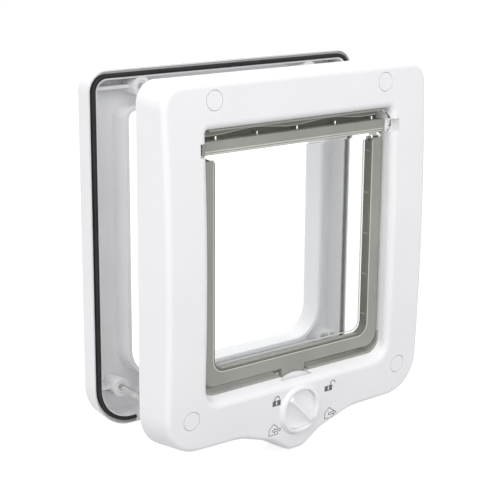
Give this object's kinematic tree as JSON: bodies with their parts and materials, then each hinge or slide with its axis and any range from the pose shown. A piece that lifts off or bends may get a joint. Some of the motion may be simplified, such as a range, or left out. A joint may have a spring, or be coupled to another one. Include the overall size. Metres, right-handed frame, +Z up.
{
  "type": "cat flap",
  "caption": "White cat flap whose halves clamp either side of a door, with a clear top-hung flap edged in grey and a turning lock dial under the passage.",
  "frame": {"origin": "middle of the passage, on the plane where the inner half meets the door", "axes": "+X to the right seen from indoors, +Y outdoors through the door, +Z up"},
  "size_m": [0.211, 0.0927, 0.242],
  "materials": {
    "white_shell": "satin white moulding",
    "gasket": "soft black sealing strip",
    "clear_panel": "clear polished plastic",
    "grey_soft": "matt grey soft plastic",
    "dark_soft": "matt dark grey-brown soft plastic",
    "steel": "zinc plated",
    "magnet": "nickel plated"
  },
  "bodies": {
    "frame": {"front_frame": "white_shell", "rear_frame": "white_shell", "rear_gasket": "gasket", "cap_top_left": "white_shell", "cap_top_right": "white_shell", "cap_bottom_left": "white_shell", "cap_bottom_right": "white_shell", "screw_top_left": "steel", "screw_top_right": "steel", "screw_bottom_left": "steel", "screw_bottom_right": "steel", "frame_magnet": "magnet", "sill_strip_left": "grey_soft", "sill_strip_right": "grey_soft", "top_strip": "dark_soft"},
    "flap": {"flap_panel": "clear_panel", "flap_seal": "grey_soft", "hinge_bar": "grey_soft", "hinge_liner": "dark_soft", "hinge_rod": "steel", "flap_magnet": "magnet"},
    "lock": {"lock_dial": "white_shell", "lock_cam": "white_shell", "cam_washer": "steel", "cam_screw": "steel"}
  },
  "joints": [
    {"name": "flap_swing", "type": "hinge", "parent": "frame", "child": "flap", "pos_m": [0, -0.0155, 0.073], "axis": [1, 0, 0], "range_deg": [0, 85]},
    {"name": "dial_turn", "type": "hinge", "parent": "frame", "child": "lock", "pos_m": [0, -0.022, -0.1017], "axis": [0, 1, 0], "continuous": true}
  ]
}
